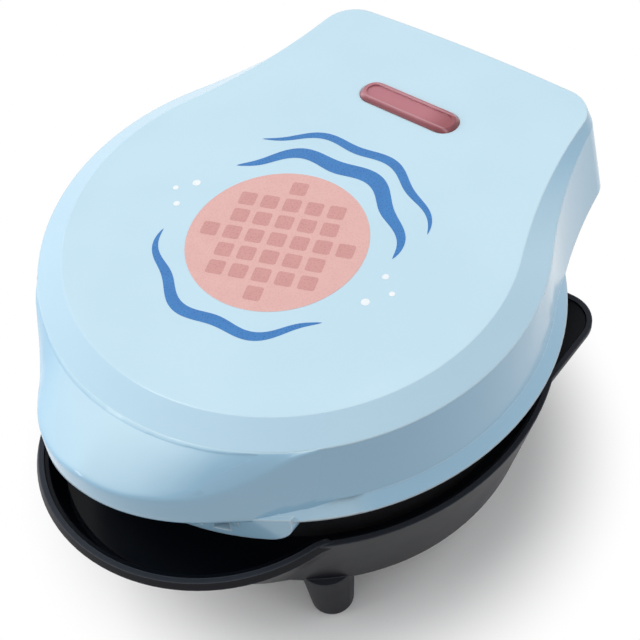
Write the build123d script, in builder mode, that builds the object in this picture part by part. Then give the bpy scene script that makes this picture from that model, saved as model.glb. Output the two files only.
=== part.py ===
from build123d import *
from math import acos, asin, atan2, cos, degrees, hypot, radians, sin, sqrt, tan
import os

# Mini waffle maker with a hinged, keyhole-shaped lid. Millimetres, +Z up, standing on z = 0.
# The hand lips point to -Y, the hinge is at the +Y end, and the round plates share one upright centre line.
os.makedirs("parts", exist_ok=True)

# Reach from the plates' centre line, and the heights of the main levels
front_reach = 80.5
rear_reach = 76.4
foot_height = 15.5
bowl_depth = 30.7
closed_gap = 14.3
lid_height = 24.35
plate_y = (front_reach - rear_reach) / 2
base_rim_z = foot_height + bowl_depth
lid_rim_z = base_rim_z + closed_gap
lid_top_z = lid_rim_z + lid_height
parting_z = base_rim_z + closed_gap / 2

# Lid housing
lid_wall = 2.4
lid_radius = 62.0
lid_draft = 1.7
tail_half_width = 42.6
tail_draft = 3.3
rear_draft = 1.5
rear_bulge = 1.4
waist_radius = 150.0
tail_corner = 9.0
bevel_drop = 3.45
bevel_width = 6.5
bevel_fade = 0.5
flare_reach = 2.5
flare_radius = lid_radius + flare_reach
flare_height = 3.2
flare_inset = 4.0
flare_bite = 0.8
lid_boss_radius = 3.6
lid_boss_clear = 3.0

# Hand lip of the lid
lid_lip_reach = 76.7
lid_lip_radius = 31.0
lid_lip_blend = 50.0
lid_lip_draft = 0.16
lip_cone_slope = 0.815
lip_crease_rise = 12.3
crown_rise = 18.2
crown_body = 60.3
crown_radius = 40.0
crown_reach = 67.4
crown_blend = 36.0
crown_top_body = 60.0
crown_top_radius = 59.29
crown_top_reach = 60.25
crown_top_blend = 16.0
lip_core_radius = 50.0
lip_bite = 0.15

# Finger guard under the lid's hand lip
guard_drop = 7.0
guard_wall = 2.2
guard_outer = 64.7
guard_half_angle = 36.0
guard_corner = 4.5
guard_slot_width = 3.9
guard_slot_height = 3.4
guard_slot_first = 4.0
guard_slot_pitch = 6.0
guard_slot_pairs = 4
guard_slot_drop = 1.6
guard_rib_width = 1.5
guard_rib_reach = 2.6
guard_rib_drop = 5.0

# Base housing
base_wall = 1.4
base_rim_radius = 62.9
base_foot_radius = 55.3
bottom_round = 4.0
base_lip_radius = 42.4
base_lip_blend = 10.0
base_lip_rise = 3.6
base_lip_hinge = 45.0
lip_band_width = 0.8
lip_band_height = 2.0
lip_root_rise = 4.0
lip_root_radius = 38.0
lip_root_reach = 62.0
lip_root_blend = 25.0
lip_core_x = 26.0
lip_core_y = 20.0
shoulder_half_width = 59.3
shoulder_y = 46.2
shoulder_corner = 9.0
shoulder_edge = 1.2
shoulder_depth = 14.0
shoulder_draw = 13.0
base_tail_half_width = 38.0
base_tail_rear = 69.5
base_tail_depth = 22.0
base_tail_draw = 6.0
base_tail_corner = 5.0

# Deck that closes the base from above
seam = 0.15
deck_wall = 0.75
deck_sink = 0.4
deck_floor_drop = 5.7
deck_thickness = 1.8
deck_opening = 52.0
dish_run = 3.4

# Feet
foot_ring_radius = 51.4
foot_angle = 40.0
foot_top_radius = 7.0
foot_tip_radius = 5.5
foot_tip_round = 0.6
foot_pad_thickness = 1.4
foot_pad_radius = 4.5
foot_pad_round = 1.1

# Cooking plates
plate_radius = 56.5
plate_wall = 1.8
plate_gap = 0.3
cavity_radius = 51.0
cavity_draft = 1.2
cavity_depth = 8.5
plate_skin = 2.7
stud_pitch = 14.5
stud_base = 10.6
stud_height = 6.0
stud_taper = 10.0
studs_across = 8
stud_ring = 49.3
post_radius = 3.5
post_ring = 43.0
post_count = 4
post_turn = 45.0
heater_ring = 31.0
heater_radius = 3.2
heater_clearance = 0.12
heater_bead = 5.2
heater_sweep = 300.0
heater_pin_radius = 1.4
heater_pin_length = 12.0

# Heat reflectors behind the plates
pan_sheet = 0.6
pan_flange = 3.0
pan_depth = 9.0
pan_pin_hole = 2.6
pan_wire_hole = 6.0

# Hinge
hinge_offset = 10.4
barrel_radius = 5.5
web_half_width = 4.0
tower_front = 8.0
tower_rear = 1.4
tower_inner = 8.0
tower_outer = 34.0
knuckle_inner = 17.4
knuckle_length = 9.2
knuckle_side_gap = 0.4
pin_radius = 1.5
pin_clearance = 0.06
wire_slot_width = 10.0
wire_slot_depth = 4.0

# Lid liner
liner_thickness = 2.0
liner_recess = 0.8
liner_gap = 0.3
liner_opening = 54.2
liner_rear_screw_x = 31.0
liner_rear_screw_inset = 12.4
liner_waist_screw_x = 41.0
liner_waist_screw_inset = 28.4

# Screws
screw_radius = 1.4
screw_head_radius = 2.7
screw_head_height = 1.7
screw_hole_clearance = 0.15
screw_bite = 4.2
screw_seat = 3.0
boss_radius = 3.6
deck_boss_drop = 3.0
tail_screw_x = 29.0
tail_screw_y = 58.0
lip_screw_x = 22.0
lip_screw_y = 58.0

# Indicator in the lid's top
lens_length = 28.4
lens_width = 7.8
lens_y = 47.7
lens_proud = 0.9
lens_bevel = 0.8
lens_panel_inset = 1.7
lens_panel_depth = 0.35
lens_gap = 0.1
lens_flange = 1.4
lens_flange_thickness = 1.2
lamp_radius = 2.2
lamp_length = 12.0
holder_wall = 1.2
holder_depth = 6.2
lamp_clearance = 0.1

# Electrical pieces in the base
thermostat_radius = 6.9
thermostat_height = 5.5
thermostat_boss = 1.6
thermostat_lug_reach = 12.0
thermostat_lug_width = 7.0
thermostat_lug_thickness = 1.0
thermostat_screw_x = 9.6
fuse_radius = 2.0
fuse_length = 13.0
fuse_y = 13.0
fuse_clearance = 0.1
clip_width = 8.0
clip_sheet = 0.8
clip_foot = 7.0
block_length = 26.0
block_width = 11.0
block_height = 8.0
block_y = 34.0
block_entry_radius = 1.6
block_entry_pitch = 8.0
gland_radius = 4.8
gland_bore = 3.2
gland_flange = 6.6
gland_flange_thickness = 1.5
gland_reach = 4.0
gland_drop = 13.5
gland_clearance = 0.1

hinge_y = plate_y + rear_reach - hinge_offset
hinge_z = parting_z
bevel_z = lid_top_z - bevel_drop
deck_top_z = base_rim_z - deck_floor_drop
deck_underside_z = deck_top_z - deck_thickness
deck_plate_z = base_rim_z - deck_sink
lower_back_z = parting_z - plate_gap / 2 - cavity_depth - plate_skin
upper_back_z = parting_z + plate_gap / 2 + cavity_depth + plate_skin
liner_bottom_z = lid_rim_z + liner_recess
liner_top_z = liner_bottom_z + liner_thickness
lid_ceiling_z = lid_top_z - lid_wall
lower_pan_z = deck_underside_z - pan_depth
upper_pan_z = liner_top_z + pan_depth
boss_join_z = deck_underside_z - deck_boss_drop
base_screw_z = boss_join_z - screw_seat
lip_tilt = atan2(base_lip_rise, front_reach - base_lip_hinge)
tilted_reach = front_reach / cos(lip_tilt)
shaft = Axis((0, plate_y, 0), (0, 0, 1))


# A horizontal plane whose origin lies on the plates' centre line
def level(height):
    return Plane(origin=(0, plate_y, height))


# The upright plane through the centre line, for turned profiles
def turning_plane():
    return Plane(origin=(0, plate_y, 0), x_dir=(1, 0, 0), z_dir=(0, -1, 0))


# The plane of the base lip's rim, which rises towards the front, lowered by a drop
def lip_plane(drop):
    height = base_rim_z - base_lip_hinge * tan(lip_tilt) - drop
    return Plane(origin=(0, plate_y, height), x_dir=(1, 0, 0), z_dir=(0, sin(lip_tilt), cos(lip_tilt)))


# The shorter arc about a centre from one point to another
def arc_about(centre, start, end):
    ahead_x = (start[0] + end[0]) / 2 - centre[0]
    ahead_y = (start[1] + end[1]) / 2 - centre[1]
    reach = hypot(start[0] - centre[0], start[1] - centre[1]) / hypot(ahead_x, ahead_y)
    ThreePointArc(start, (centre[0] + reach * ahead_x, centre[1] + reach * ahead_y), end)


# Round body with a tail: each waist arc touches the circle and ends at a rear corner
def keyhole(radius, half_width, rear_y, waist, corner):
    side_y = rear_y - rear_bulge
    reach = hypot(half_width, side_y)
    centre_reach = radius + waist
    spread = acos((reach**2 + centre_reach**2 - waist**2) / (2 * reach * centre_reach))
    turn = atan2(side_y, half_width) - spread
    right = (radius * cos(turn), radius * sin(turn))
    left = (-right[0], right[1])
    centre = (centre_reach * cos(turn), centre_reach * sin(turn))
    with BuildSketch() as outline:
        with BuildLine():
            ThreePointArc(left, (0, -radius), right)
            arc_about(centre, right, (half_width, side_y))
            ThreePointArc((half_width, side_y), (0, rear_y), (-half_width, side_y))
            arc_about((-centre[0], centre[1]), (-half_width, side_y), left)
        make_face()
        fillet(outline.vertices().sort_by(Axis.Y)[-2:], corner)
    return outline.sketch


# Rounded hand lip towards -Y, blended into a round body and closed inside that body
def lip_cap(radius, lip_radius, lip_reach, blend):
    lip_y = lip_radius - lip_reach
    body_far = radius + blend
    lip_far = lip_radius + blend
    blend_y = (body_far**2 - lip_far**2 + lip_y**2) / (2 * lip_y)
    blend_x = sqrt(body_far**2 - blend_y**2)
    body_share = radius / body_far
    lip_share = lip_radius / lip_far
    right_body = (body_share * blend_x, body_share * blend_y)
    left_body = (-right_body[0], right_body[1])
    right_lip = (lip_share * blend_x, lip_y + lip_share * (blend_y - lip_y))
    left_lip = (-right_lip[0], right_lip[1])
    with BuildSketch() as outline:
        with BuildLine():
            arc_about((-blend_x, blend_y), left_body, left_lip)
            ThreePointArc(left_lip, (0, -lip_reach), right_lip)
            arc_about((blend_x, blend_y), right_lip, right_body)
            Polyline(right_body, (lip_core_x, -lip_core_y), (-lip_core_x, -lip_core_y), left_body)
        make_face()
    return outline.sketch


# Lid outline at the rim, drawn in by an inset
def lid_rim_section(inset):
    return keyhole(
        lid_radius - inset, tail_half_width - inset, rear_reach - inset, waist_radius + inset, tail_corner - inset
    )


# Lid outline where the wall meets the bevel
def lid_bevel_section(inset):
    return keyhole(
        lid_radius - lid_draft - inset,
        tail_half_width - tail_draft - inset,
        rear_reach - rear_draft - inset,
        waist_radius + inset,
        tail_corner - inset,
    )


# Lid outline at the flat top: the bevel is wide at the round body and fades out at the tail
def lid_top_section(inset):
    return keyhole(
        lid_radius - lid_draft - bevel_width - inset,
        tail_half_width - tail_draft - bevel_fade - inset,
        rear_reach - rear_draft - bevel_fade - inset,
        waist_radius + inset,
        tail_corner - inset,
    )


# Keyhole body of the lid, as a solid of its outside drawn in by an inset
def lid_form(inset):
    with BuildPart() as form:
        with BuildSketch(level(lid_rim_z)):
            add(lid_rim_section(inset))
        with BuildSketch(level(bevel_z - inset / 2)):
            add(lid_bevel_section(inset))
        with BuildSketch(level(lid_top_z - inset)):
            add(lid_top_section(inset))
        loft(ruled=True)
    return form.part


# Hand lip of the lid: a drafted wall and a crowned top that fades into the round body, cut back by a cone below
def lid_lip_form(inset):
    crease_z = lid_rim_z + lip_crease_rise - inset / 2
    shrink = inset + lip_crease_rise * lid_lip_draft
    crease_body = lid_radius - lip_bite - lid_draft * lip_crease_rise / (bevel_z - lid_rim_z) - inset
    cone_z = lid_rim_z + inset * hypot(1, lip_cone_slope) + lip_bite
    reach = lid_lip_reach + lip_bite - flare_radius
    with BuildPart() as form:
        with BuildSketch(level(lid_rim_z)):
            add(lip_cap(lid_radius - lip_bite - inset, lid_lip_radius - inset, lid_lip_reach - inset,
                        lid_lip_blend + inset))
        with BuildSketch(level(crease_z)):
            add(lip_cap(crease_body, lid_lip_radius - shrink, lid_lip_reach - shrink, lid_lip_blend + inset))
        loft(ruled=True)
        with BuildSketch(level(crease_z)):
            add(lip_cap(crease_body, lid_lip_radius - shrink, lid_lip_reach - shrink, lid_lip_blend + inset))
        with BuildSketch(level(lid_rim_z + crown_rise - inset / 2)):
            add(lip_cap(crown_body - inset, crown_radius - inset, crown_reach - inset, crown_blend + inset))
        with BuildSketch(level(bevel_z - inset / 2)):
            add(lip_cap(crown_top_body - inset, crown_top_radius - inset, crown_top_reach - inset,
                        crown_top_blend + inset))
        loft()
        with BuildSketch(turning_plane()):
            with BuildLine():
                Polyline(
                    (lip_core_radius, bevel_z),
                    (lip_core_radius, cone_z),
                    (flare_radius - lip_bite, cone_z),
                    (lid_lip_reach, cone_z + reach * lip_cone_slope),
                    (lid_lip_reach, bevel_z),
                    close=True,
                )
            make_face()
        revolve(axis=shaft, mode=Mode.INTERSECT)
    return form.part


# Radius of the base bowl's outside at a height
def bowl_radius(height):
    share = (height - foot_height) / bowl_depth
    return base_foot_radius + share * (base_rim_radius - base_foot_radius)


# Base outline pieces behind the bowl, at a height drawn in by an inset
def shoulder_sketch(inset):
    with BuildSketch() as outline:
        with Locations((0, (shoulder_y - inset) / 2)):
            Rectangle(2 * (shoulder_half_width - inset), shoulder_y - inset)
        fillet(outline.vertices().sort_by(Axis.Y)[-2:], max(shoulder_corner - inset, 1))
    return outline.sketch


def base_tail_sketch(inset, draw):
    rear_y = base_tail_rear - inset
    with BuildSketch() as outline:
        with Locations((0, (rear_y + lip_core_y) / 2)):
            Rectangle(2 * (base_tail_half_width - inset - draw), rear_y - lip_core_y)
        fillet(outline.vertices().sort_by(Axis.Y)[-2:], base_tail_corner - inset)
    return outline.sketch


# The base's outside, drawn in by an inset: bowl, hand lip, rear shoulders and tail
def base_form(inset):
    floor_z = foot_height + inset
    root_z = foot_height + lip_root_rise + inset
    touch_z = base_rim_z - lip_band_height
    band = inset + lip_band_width
    with BuildPart() as form:
        with BuildSketch(turning_plane()) as bowl:
            with BuildLine():
                Polyline(
                    (0, floor_z),
                    (bowl_radius(floor_z) - inset, floor_z),
                    (base_rim_radius - inset, base_rim_z),
                    (0, base_rim_z),
                    close=True,
                )
            make_face()
            corner = bowl.vertices().group_by(Axis.Y)[0].sort_by(Axis.X)[-1]
            fillet(corner, bottom_round - inset)
        revolve(axis=shaft)
        with BuildSketch(level(floor_z)):
            add(lip_cap(bowl_radius(floor_z) - bottom_round - inset, lip_root_radius - bottom_round - inset,
                        lip_root_reach - bottom_round - inset, lip_root_blend + bottom_round + inset))
        with BuildSketch(level(root_z)):
            add(lip_cap(bowl_radius(root_z) - inset, lip_root_radius - inset, lip_root_reach - inset,
                        lip_root_blend + inset))
        with BuildSketch(lip_plane(lip_band_height)):
            add(lip_cap(bowl_radius(touch_z) - inset, base_lip_radius - inset, tilted_reach - inset,
                        base_lip_blend + inset))
        with BuildSketch(lip_plane(0)):
            add(lip_cap(base_rim_radius - band, base_lip_radius - band, tilted_reach - band, base_lip_blend + band))
        loft(ruled=True)
        with BuildSketch(level(base_rim_z)):
            add(shoulder_sketch(inset))
        extrude(amount=-shoulder_edge)
        with BuildSketch(level(base_rim_z - shoulder_edge)):
            add(shoulder_sketch(inset))
        with BuildSketch(level(base_rim_z - shoulder_edge - shoulder_depth + inset)):
            add(shoulder_sketch(inset + shoulder_draw))
        loft(ruled=True)
        with BuildSketch(level(base_rim_z)):
            add(base_tail_sketch(inset, 0))
        with BuildSketch(level(base_rim_z - base_tail_depth + inset)):
            add(base_tail_sketch(inset, base_tail_draw))
        loft(ruled=True)
    return form.part


# Upright profile in the YZ plane at a distance from the middle
def side_plane(x):
    return Plane(origin=(x, 0, 0), x_dir=(0, 1, 0), z_dir=(1, 0, 0))


# Hinge post from the base's deck up to its barrel
def tower_sketch():
    with BuildSketch() as outline:
        with Locations((hinge_y, hinge_z)):
            Circle(barrel_radius)
        foot_y = hinge_y + (tower_rear - tower_front) / 2
        with Locations((foot_y, deck_plate_z)):
            Rectangle(tower_front + tower_rear, 2 * seam, align=(Align.CENTER, Align.MAX))
        make_hull()
    return outline.sketch


# Hinge ear from the lid's liner down to its barrel
def knuckle_sketch():
    with BuildSketch() as outline:
        with Locations((hinge_y, hinge_z)):
            Circle(barrel_radius)
        with Locations((hinge_y, (hinge_z + liner_bottom_z) / 2)):
            Rectangle(2 * web_half_width, liner_bottom_z - hinge_z)
    return outline.sketch


tower_spans = (
    (tower_inner, knuckle_inner - knuckle_side_gap),
    (knuckle_inner + knuckle_length + knuckle_side_gap, tower_outer),
)
tail_screw_spots = [(-tail_screw_x, tail_screw_y), (tail_screw_x, tail_screw_y)]
lip_screw_spots = [(-lip_screw_x, -lip_screw_y), (lip_screw_x, -lip_screw_y)]
base_screw_spots = tail_screw_spots + lip_screw_spots
liner_screw_spots = [
    (-liner_rear_screw_x, rear_reach - liner_rear_screw_inset),
    (liner_rear_screw_x, rear_reach - liner_rear_screw_inset),
    (-liner_waist_screw_x, rear_reach - liner_waist_screw_inset),
    (liner_waist_screw_x, rear_reach - liner_waist_screw_inset),
]


# A shank above a pan head whose bearing face is at a height, pointing up or down
def screw_group(spots, seat_z, shank, up):
    way = 1 if up else -1
    with BuildPart() as group:
        with BuildSketch(level(seat_z)):
            with Locations(*spots):
                Circle(screw_head_radius)
        extrude(amount=-way * screw_head_height)
        with BuildSketch(level(seat_z)):
            with Locations(*spots):
                Circle(screw_radius)
        extrude(amount=way * shank)
    return group.part


# Round posts between two heights, one at each spot
def post_group(spots, radius, low_z, high_z):
    with BuildPart() as group:
        with BuildSketch(level(low_z)):
            with Locations(*spots):
                Circle(radius)
        extrude(amount=high_z - low_z)
    return group.part


# Housing bosses, trimmed by the base's outside
def housing_bosses():
    with BuildPart() as bosses:
        add(post_group(base_screw_spots, boss_radius, foot_height, boss_join_z))
        add(hull, mode=Mode.INTERSECT)
    return bosses.part


# Base housing: outside less inside, with feet, screw bosses and the cord's hole
hull = base_form(0)
bore_radius = screw_radius + screw_hole_clearance
head_bore_radius = screw_head_radius + screw_hole_clearance
gland_z = base_rim_z - gland_drop
foot_rise = foot_height + bottom_round - foot_pad_thickness
foot_taper = degrees(atan2(foot_top_radius - foot_tip_radius, foot_rise))
foot_turns = (foot_angle, 180 - foot_angle, 180 + foot_angle, -foot_angle)
foot_spots = [
    (foot_ring_radius * sin(radians(turn)), -foot_ring_radius * cos(radians(turn))) for turn in foot_turns
]
with BuildPart() as base_housing:
    add(hull)
    add(base_form(base_wall), mode=Mode.SUBTRACT)
    add(housing_bosses())
    with BuildSketch(level(foot_pad_thickness)):
        with Locations(*foot_spots):
            Circle(foot_tip_radius)
    extrude(amount=foot_rise, taper=-foot_taper)
    add(post_group(base_screw_spots, head_bore_radius, foot_height, base_screw_z), mode=Mode.SUBTRACT)
    add(post_group(base_screw_spots, bore_radius, base_screw_z, boss_join_z), mode=Mode.SUBTRACT)
    with BuildSketch(Plane(origin=(0, plate_y + base_tail_rear, gland_z), x_dir=(1, 0, 0), z_dir=(0, 1, 0))):
        Circle(gland_radius + gland_clearance)
    extrude(amount=-2 * base_wall, mode=Mode.SUBTRACT)
base_housing.part.label = "base_housing"
export_step(base_housing.part, "parts/base_housing.step")


# The lip's dish in the deck, from the deck's floor up to the rim, drawn in by an inset
def dish_form(inset, low_z):
    band = inset + lip_band_width
    with BuildPart() as form:
        with BuildSketch(level(low_z)):
            add(lip_cap(base_rim_radius - inset - dish_run / 2, base_lip_radius - inset - dish_run,
                        front_reach - inset - dish_run, base_lip_blend + inset + dish_run))
        with BuildSketch(lip_plane(0)):
            add(lip_cap(base_rim_radius - band, base_lip_radius - band, tilted_reach - band, base_lip_blend + band))
        loft(ruled=True)
    return form.part


# Deck: top plate, round well for the lower plate, dish in the hand lip and hinge towers
deck_inset = base_wall + seam
well_radius = base_rim_radius - deck_inset - deck_wall
with BuildPart() as deck_blank:
    add(base_form(deck_inset))
    with BuildSketch(level(deck_underside_z)):
        Rectangle(4 * base_rim_radius, 4 * base_rim_radius)
    extrude(amount=-base_rim_z, mode=Mode.SUBTRACT)
    with BuildSketch(level(deck_plate_z)):
        with Locations((0, -base_lip_hinge)):
            Rectangle(4 * base_rim_radius, 4 * base_rim_radius, align=(Align.CENTER, Align.MIN))
    extrude(amount=base_rim_z, mode=Mode.SUBTRACT)
    with BuildSketch(lip_plane(deck_sink)):
        with Locations((0, -base_lip_hinge / cos(lip_tilt))):
            Rectangle(4 * base_rim_radius, 4 * base_rim_radius, align=(Align.CENTER, Align.MAX))
    extrude(amount=base_rim_z, mode=Mode.SUBTRACT)
with BuildPart() as deck_hollow:
    with BuildSketch(level(deck_underside_z)):
        Rectangle(4 * base_rim_radius, 4 * base_rim_radius)
        Circle(well_radius + deck_wall, mode=Mode.SUBTRACT)
    extrude(amount=base_rim_z - deck_sink - deck_thickness - deck_underside_z)
    add(dish_form(deck_inset + deck_wall / 2, deck_underside_z), mode=Mode.SUBTRACT)
with BuildPart() as base_deck:
    add(deck_blank.part)
    add(deck_hollow.part, mode=Mode.SUBTRACT)
    add(post_group(tail_screw_spots, boss_radius, boss_join_z, deck_plate_z))
    add(post_group(lip_screw_spots, boss_radius, boss_join_z, deck_top_z))
    with BuildSketch(level(deck_top_z)):
        Circle(well_radius)
    extrude(amount=deck_floor_drop, mode=Mode.SUBTRACT)
    add(dish_form(deck_inset + deck_wall, deck_top_z), mode=Mode.SUBTRACT)
    with BuildSketch(level(deck_underside_z)):
        Circle(deck_opening)
    extrude(amount=deck_thickness, mode=Mode.SUBTRACT)
    for low_x, high_x in tower_spans:
        with BuildSketch(side_plane(low_x)):
            add(tower_sketch())
        extrude(amount=high_x - low_x)
        with BuildSketch(side_plane(-high_x)):
            add(tower_sketch())
        extrude(amount=high_x - low_x)
    with BuildSketch(side_plane(-tower_outer)):
        with Locations((hinge_y, hinge_z)):
            Circle(pin_radius + pin_clearance)
    extrude(amount=2 * tower_outer, mode=Mode.SUBTRACT)
    add(post_group(base_screw_spots, screw_radius, boss_join_z, base_screw_z + screw_seat + screw_bite),
        mode=Mode.SUBTRACT)
    with BuildSketch(level(deck_underside_z)):
        with Locations((0, hinge_y - plate_y - tower_front / 2)):
            SlotOverall(wire_slot_width, wire_slot_depth)
    extrude(amount=base_rim_z - deck_underside_z, mode=Mode.SUBTRACT)
base_deck.part.label = "base_deck"
export_step(base_deck.part, "parts/base_deck.step")

with BuildPart() as base_screws:
    add(screw_group(base_screw_spots, base_screw_z, screw_seat + screw_bite, True))
base_screws.part.label = "base_screws"
export_step(base_screws.part, "parts/base_screws.step")

# Rubber pads under the feet
with BuildPart() as foot_pads:
    add(post_group(foot_spots, foot_pad_radius, 0, foot_pad_thickness))
    chamfer(foot_pads.edges().group_by(Axis.Z)[0], foot_pad_round)
foot_pads.part.label = "foot_pads"
export_step(foot_pads.part, "parts/foot_pads.step")


# Cooking face: a drafted round pocket with square studs standing in it, as a solid to cut
def waffle_pocket():
    floor_z = parting_z - plate_gap / 2 - cavity_depth
    with BuildPart() as studs:
        with BuildSketch(level(floor_z)):
            with GridLocations(stud_pitch, stud_pitch, studs_across, studs_across):
                Rectangle(stud_base, stud_base)
        extrude(amount=stud_height, taper=stud_taper)
        with BuildSketch(level(floor_z)):
            Circle(stud_ring)
        extrude(amount=stud_height, mode=Mode.INTERSECT)
    with BuildPart() as pocket:
        with BuildSketch(turning_plane()):
            with BuildLine():
                Polyline(
                    (0, parting_z),
                    (cavity_radius, parting_z),
                    (cavity_radius - cavity_draft, floor_z),
                    (0, floor_z),
                    close=True,
                )
            make_face()
        revolve(axis=shaft)
        add(studs.part, mode=Mode.SUBTRACT)
    return pocket.part


# Back of the lower plate: heater bead with its channel, and bored screw posts down to a height
def plate_back(post_end_z):
    with BuildPart() as back:
        with BuildSketch(level(lower_back_z)):
            Circle(heater_ring + heater_bead)
            Circle(heater_ring - heater_bead, mode=Mode.SUBTRACT)
        extrude(amount=-heater_radius)
        with BuildSketch(turning_plane()):
            with Locations((heater_ring, lower_back_z - heater_radius)):
                Circle(heater_radius + heater_clearance)
        revolve(axis=shaft, mode=Mode.SUBTRACT)
        with BuildSketch(level(lower_back_z)):
            with PolarLocations(post_ring, post_count, post_turn):
                Circle(post_radius)
        extrude(amount=post_end_z - lower_back_z)
        with BuildSketch(level(post_end_z)):
            with PolarLocations(post_ring, post_count, post_turn):
                Circle(screw_radius)
        extrude(amount=screw_bite, mode=Mode.SUBTRACT)
    return back.part


# Both plates' posts end on the inside of their reflectors
pocket = waffle_pocket()
thermostat_z = lower_back_z - thermostat_boss
fuse_screw_y = fuse_y + fuse_radius + fuse_clearance + clip_sheet + clip_foot / 2
fuse_screw_bite = plate_skin / 2
with BuildPart() as lower_plate:
    with BuildSketch(turning_plane()):
        with BuildLine():
            Polyline(
                (0, parting_z - plate_gap / 2),
                (plate_radius, parting_z - plate_gap / 2),
                (plate_radius, deck_top_z),
                (plate_radius - plate_wall, deck_top_z),
                (plate_radius - plate_wall, lower_back_z),
                (0, lower_back_z),
                close=True,
            )
        make_face()
    revolve(axis=shaft)
    add(pocket, mode=Mode.SUBTRACT)
    add(plate_back(lower_pan_z + pan_sheet))
    with BuildSketch(level(lower_back_z)):
        Circle(thermostat_radius)
        SlotOverall(2 * thermostat_lug_reach, thermostat_lug_width)
    extrude(amount=-thermostat_boss)
    with BuildSketch(level(thermostat_z)):
        with Locations((-thermostat_screw_x, 0), (thermostat_screw_x, 0)):
            Circle(screw_radius)
    extrude(amount=thermostat_boss + plate_skin / 2, mode=Mode.SUBTRACT)
    with BuildSketch(level(lower_back_z)):
        with Locations((0, fuse_screw_y)):
            Circle(screw_radius)
    extrude(amount=fuse_screw_bite, mode=Mode.SUBTRACT)
lower_plate.part.label = "lower_plate"
export_step(lower_plate.part, "parts/lower_plate.step")

with BuildPart() as upper_plate:
    with BuildSketch(turning_plane()):
        with BuildLine():
            Polyline(
                (0, parting_z + plate_gap / 2),
                (plate_radius, parting_z + plate_gap / 2),
                (plate_radius, liner_bottom_z),
                (liner_opening - liner_gap, liner_bottom_z),
                (liner_opening - liner_gap, upper_back_z),
                (0, upper_back_z),
                close=True,
            )
        make_face()
    revolve(axis=shaft)
    mirror(pocket, about=level(parting_z), mode=Mode.SUBTRACT)
    mirror(plate_back(2 * parting_z - upper_pan_z + pan_sheet), about=level(parting_z))
upper_plate.part.label = "upper_plate"
export_step(upper_plate.part, "parts/upper_plate.step")


# Tubular heater under the lower plate: an open ring whose two ends turn down into terminals
def heater_form():
    heater_z = lower_back_z - heater_radius
    gap_turn = 90 + (360 - heater_sweep) / 2
    ends = [
        (heater_ring * cos(radians(gap_turn)), heater_ring * sin(radians(gap_turn))),
        (-heater_ring * cos(radians(gap_turn)), heater_ring * sin(radians(gap_turn))),
    ]
    with BuildPart() as ring:
        with BuildSketch(turning_plane()):
            with Locations((heater_ring, heater_z)):
                Circle(heater_radius)
        revolve(axis=shaft, revolution_arc=heater_sweep)
    with BuildPart() as heater:
        add(ring.part.rotate(shaft, gap_turn))
        add(post_group(ends, heater_pin_radius, heater_z - heater_pin_length, heater_z))
    return heater.part


with BuildPart() as lower_heater:
    add(heater_form())
lower_heater.part.label = "lower_heater"
export_step(lower_heater.part, "parts/lower_heater.step")

with BuildPart() as upper_heater:
    mirror(heater_form(), about=level(parting_z))
upper_heater.part.label = "upper_heater"
export_step(upper_heater.part, "parts/upper_heater.step")


# Sheet reflector below a clamped face: flange, wall and floor with holes for screws, terminals and wires
def reflector_form(flange_z, wall_radius):
    floor_z = flange_z - pan_depth
    gap_turn = 90 + (360 - heater_sweep) / 2
    with BuildPart() as pan:
        with BuildSketch(turning_plane()):
            with BuildLine():
                Polyline(
                    (0, floor_z),
                    (wall_radius, floor_z),
                    (wall_radius, flange_z - pan_sheet),
                    (wall_radius + pan_flange, flange_z - pan_sheet),
                    (wall_radius + pan_flange, flange_z),
                    (wall_radius - pan_sheet, flange_z),
                    (wall_radius - pan_sheet, floor_z + pan_sheet),
                    (0, floor_z + pan_sheet),
                    close=True,
                )
            make_face()
        revolve(axis=shaft)
        with BuildSketch(level(floor_z)):
            with PolarLocations(post_ring, post_count, post_turn):
                Circle(bore_radius)
            with PolarLocations(heater_ring, 2, gap_turn, heater_sweep - 360, endpoint=True):
                Circle(pan_pin_hole)
            Circle(pan_wire_hole)
        extrude(amount=pan_sheet, mode=Mode.SUBTRACT)
    return pan.part


with BuildPart() as lower_reflector:
    add(reflector_form(deck_underside_z, deck_opening))
lower_reflector.part.label = "lower_reflector"
export_step(lower_reflector.part, "parts/lower_reflector.step")

with BuildPart() as upper_reflector:
    mirror(reflector_form(2 * parting_z - liner_top_z, liner_opening + pan_sheet), about=level(parting_z))
upper_reflector.part.label = "upper_reflector"
export_step(upper_reflector.part, "parts/upper_reflector.step")

post_spots = [
    (post_ring * cos(radians(post_turn + 360 * step / post_count)),
     post_ring * sin(radians(post_turn + 360 * step / post_count)))
    for step in range(post_count)
]
with BuildPart() as lower_plate_screws:
    add(screw_group(post_spots, lower_pan_z, pan_sheet + screw_bite, True))
lower_plate_screws.part.label = "lower_plate_screws"
export_step(lower_plate_screws.part, "parts/lower_plate_screws.step")

with BuildPart() as upper_plate_screws:
    add(screw_group(post_spots, upper_pan_z, pan_sheet + screw_bite, False))
upper_plate_screws.part.label = "upper_plate_screws"
export_step(upper_plate_screws.part, "parts/upper_plate_screws.step")

# Thermostat under the middle of the lower plate, with its two lug screws
with BuildPart() as thermostat:
    with BuildSketch(level(thermostat_z)):
        Circle(thermostat_radius)
        SlotOverall(2 * thermostat_lug_reach, thermostat_lug_width)
    extrude(amount=-thermostat_lug_thickness)
    with BuildSketch(level(thermostat_z - thermostat_lug_thickness)):
        Circle(thermostat_radius)
    extrude(amount=thermostat_lug_thickness - thermostat_height)
    with BuildSketch(level(thermostat_z)):
        with Locations((-thermostat_screw_x, 0), (thermostat_screw_x, 0)):
            Circle(bore_radius)
    extrude(amount=-thermostat_lug_thickness, mode=Mode.SUBTRACT)
thermostat.part.label = "thermostat"
export_step(thermostat.part, "parts/thermostat.step")

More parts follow.
